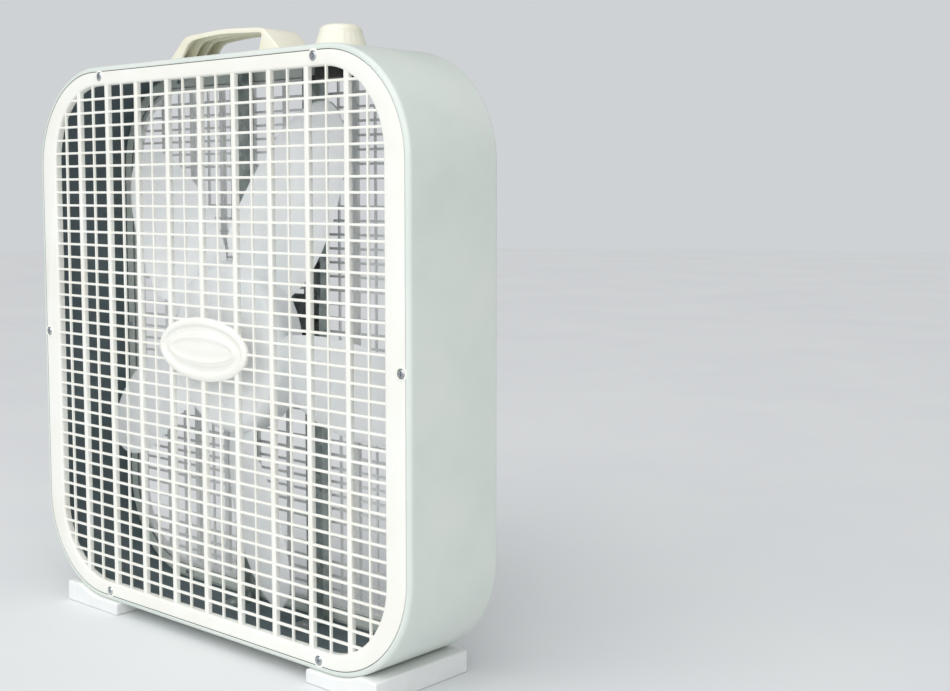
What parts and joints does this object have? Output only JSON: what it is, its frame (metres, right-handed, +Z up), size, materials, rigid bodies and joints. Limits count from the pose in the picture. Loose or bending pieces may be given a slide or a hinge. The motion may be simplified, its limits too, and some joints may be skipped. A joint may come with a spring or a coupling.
{
  "type": "box fan",
  "caption": "Square portable box fan: steel housing band, plastic lattice grilles, hub-and-blade impeller on a motor, carry handle, speed knob and two feet.",
  "frame": {"origin": "centre of the bounding box's underside, on the surface that the feet stand on", "axes": "+Z up, -Y out of the front grille where the air leaves, +X to the right seen from the front"},
  "size_m": [0.527, 0.112, 0.565],
  "materials": {
    "painted_steel": "satin baked enamel on sheet steel",
    "grille_plastic": "moulded polypropylene, soft sheen",
    "rear_grille_plastic": "moulded polypropylene, soft sheen",
    "blade_plastic": "moulded polypropylene, soft sheen",
    "ivory_plastic": "moulded ABS, slightly yellowed",
    "foot_plastic": "moulded polypropylene",
    "galvanised_steel": "galvanised strip",
    "screw_steel": "zinc plated",
    "rivet_aluminium": "bright",
    "core_steel": "stacked laminations",
    "coil_tape": "varnished windings under tape",
    "copper": "bare copper",
    "bell_alloy": "die cast",
    "bronze": "sintered bronze",
    "bright_steel": "ground",
    "washer_fibre": "vulcanised fibre",
    "switch_resin": "phenolic resin",
    "terminal_brass": "plain",
    "plug_nylon": "natural nylon",
    "lead_sleeve": "fibre sleeve, black",
    "clip_nylon": "black nylon",
    "gland_nylon": "black nylon"
  },
  "bodies": {
    "fan_body": {"housing_band": "painted_steel", "front_grille": "grille_plastic", "rear_grille": "rear_grille_plastic", "front_grille_screws": "screw_steel", "rear_grille_screws": "screw_steel", "carry_handle": "ivory_plastic", "handle_screws": "screw_steel", "foot_left": "foot_plastic", "foot_right": "foot_plastic", "foot_screws": "screw_steel", "motor_channel_left": "galvanised_steel", "motor_channel_right": "galvanised_steel", "channel_rivets": "rivet_aluminium", "motor_plate": "galvanised_steel", "motor_plate_screws": "screw_steel", "stator_core": "core_steel", "stator_coils": "coil_tape", "shading_rings": "copper", "motor_front_bell": "bell_alloy", "motor_rear_bell": "bell_alloy", "motor_bolts": "screw_steel", "motor_nuts": "screw_steel", "front_bearing": "bronze", "rear_bearing": "bronze", "switch_body": "switch_resin", "switch_nut": "screw_steel", "switch_terminals": "terminal_brass", "switch_plug": "plug_nylon", "motor_lead": "lead_sleeve", "lead_clips": "clip_nylon", "cord_gland": "gland_nylon"},
    "impeller_rotor": {"motor_shaft": "bright_steel", "motor_rotor": "core_steel", "thrust_washers": "washer_fibre", "impeller": "blade_plastic", "hub_clip": "bright_steel"},
    "knob": {"control_knob": "ivory_plastic", "switch_spindle": "bright_steel", "switch_rotor": "switch_resin"}
  },
  "joints": [
    {"name": "blade_spin", "type": "hinge", "parent": "fan_body", "child": "impeller_rotor", "pos_m": [0, 0, 0.2755], "axis": [0, 1, 0], "continuous": true},
    {"name": "knob_turn", "type": "hinge", "parent": "fan_body", "child": "knob", "pos_m": [0.136, -0.005, 0.539], "axis": [0, 0, -1], "range_deg": [0, 135]}
  ]
}
